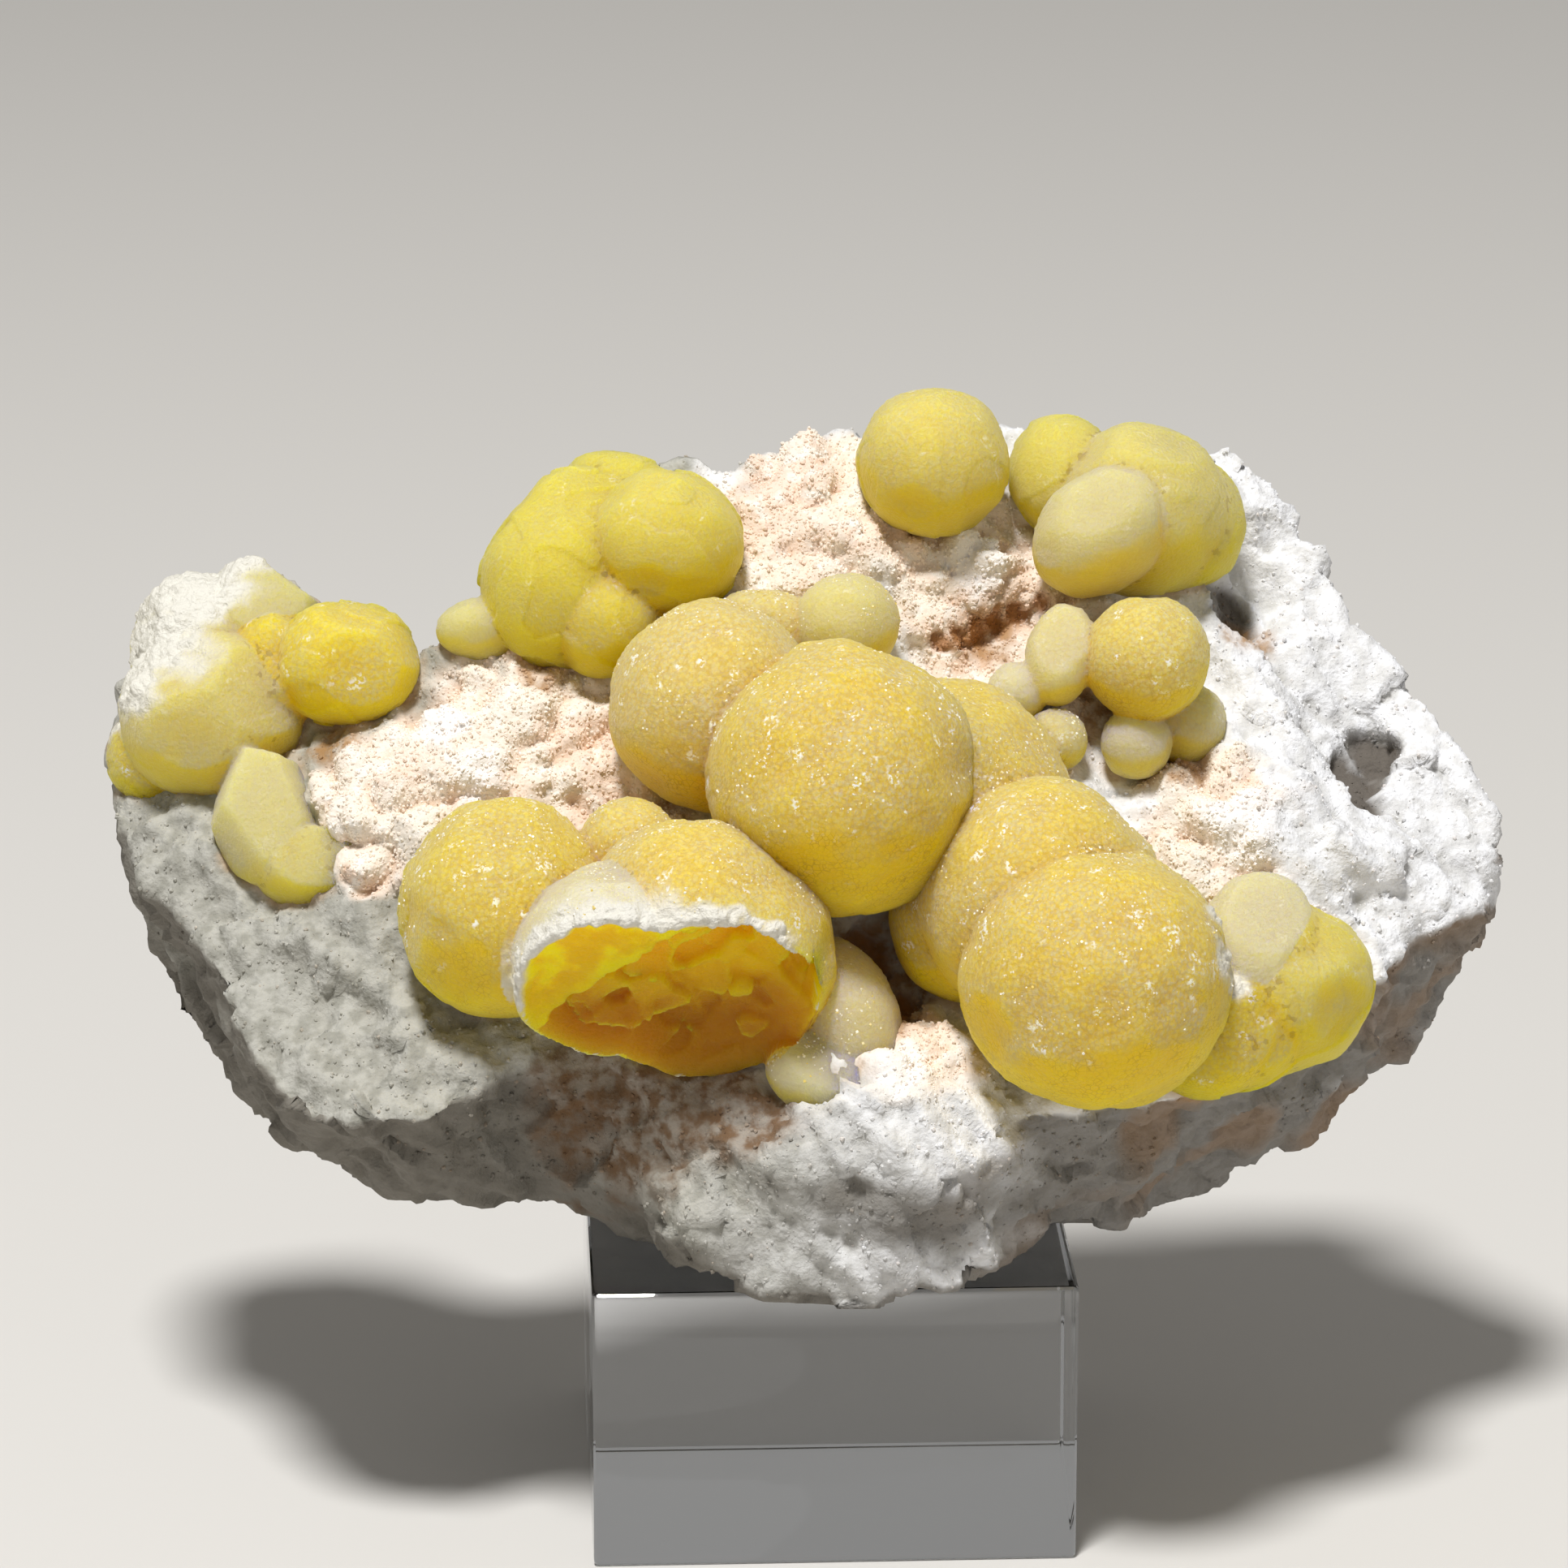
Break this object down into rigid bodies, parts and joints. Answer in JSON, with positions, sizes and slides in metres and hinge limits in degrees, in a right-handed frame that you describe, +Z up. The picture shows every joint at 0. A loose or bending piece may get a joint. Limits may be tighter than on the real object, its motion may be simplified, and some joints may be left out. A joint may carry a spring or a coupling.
{
  "type": "fluorite specimen",
  "caption": "Yellow fluorite balls with a frosted skin, grown together on a pale rough matrix rock that rests on a clear display block.",
  "frame": {"origin": "middle of the display block's underside", "axes": "+Z up, +X to the right along the specimen's length, -Y towards the viewer of its open face"},
  "size_m": [0.119, 0.0633, 0.0911],
  "materials": {
    "matrix": "rough, granular, pale cream to white",
    "fluorite": "translucent yellow with a frosted skin of tiny crystals",
    "acrylic": "clear, polished"
  },
  "bodies": {
    "root": {"matrix": "matrix", "fluorite_centre": "fluorite", "fluorite_upper_left": "fluorite", "fluorite_top_ball": "fluorite", "fluorite_upper_right": "fluorite", "fluorite_right": "fluorite", "fluorite_left_end": "fluorite", "acrylic_block": "acrylic"}
  },
  "joints": []
}
